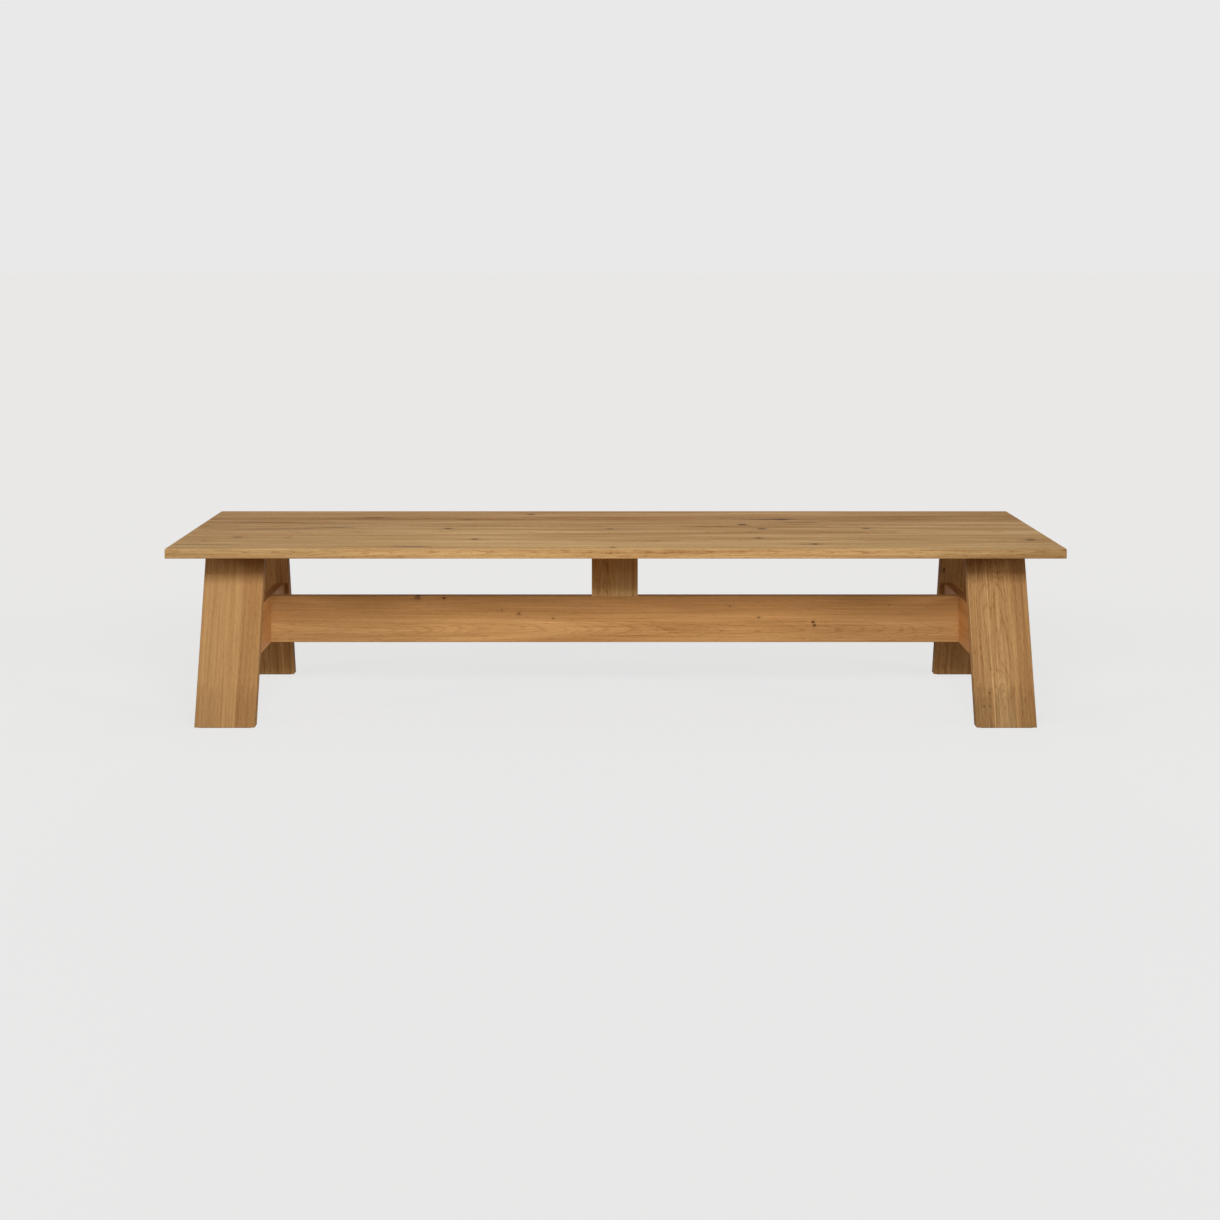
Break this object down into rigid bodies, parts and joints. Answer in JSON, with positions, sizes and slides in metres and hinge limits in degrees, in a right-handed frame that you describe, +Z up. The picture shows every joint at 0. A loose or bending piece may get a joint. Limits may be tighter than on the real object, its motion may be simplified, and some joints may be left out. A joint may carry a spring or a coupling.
{
  "type": "trestle dining table",
  "caption": "Long dining table with an edge-glued plank top on two splayed trestles, tied by a deep stretcher that carries a short post under the middle of the top.",
  "frame": {"origin": "on the floor under the middle of the top", "axes": "+X along the table, to the right in the picture; +Y towards the rear edge; +Z up"},
  "size_m": [3.66, 0.95, 0.74],
  "materials": {
    "oak": "oiled oak with open grain",
    "beech": "plain beech",
    "steel": "zinc-plated steel",
    "brass": "plain brass",
    "felt": "pressed brown wool felt"
  },
  "bodies": {
    "root": {"top_plank_1": "oak", "top_plank_2": "oak", "top_plank_3": "oak", "top_plank_4": "oak", "top_plank_5": "oak", "top_plank_6": "oak", "top_plank_7": "oak", "left_front_leg_inner_stave": "oak", "left_front_leg_middle_stave": "oak", "left_front_leg_outer_stave": "oak", "left_rear_leg_inner_stave": "oak", "left_rear_leg_middle_stave": "oak", "left_rear_leg_outer_stave": "oak", "right_front_leg_inner_stave": "oak", "right_front_leg_middle_stave": "oak", "right_front_leg_outer_stave": "oak", "right_rear_leg_inner_stave": "oak", "right_rear_leg_middle_stave": "oak", "right_rear_leg_outer_stave": "oak", "left_crosspiece_lower_board": "oak", "left_crosspiece_upper_board": "oak", "right_crosspiece_lower_board": "oak", "right_crosspiece_upper_board": "oak", "stretcher_lower_board": "oak", "stretcher_upper_board": "oak", "post_left_stave": "oak", "post_right_stave": "oak", "left_bearer": "oak", "right_bearer": "oak", "top_splines": "beech", "stretcher_bolts": "steel", "stretcher_barrel_nuts": "steel", "bearer_bolts": "steel", "top_inserts": "brass", "foot_felts": "felt"}
  },
  "joints": []
}
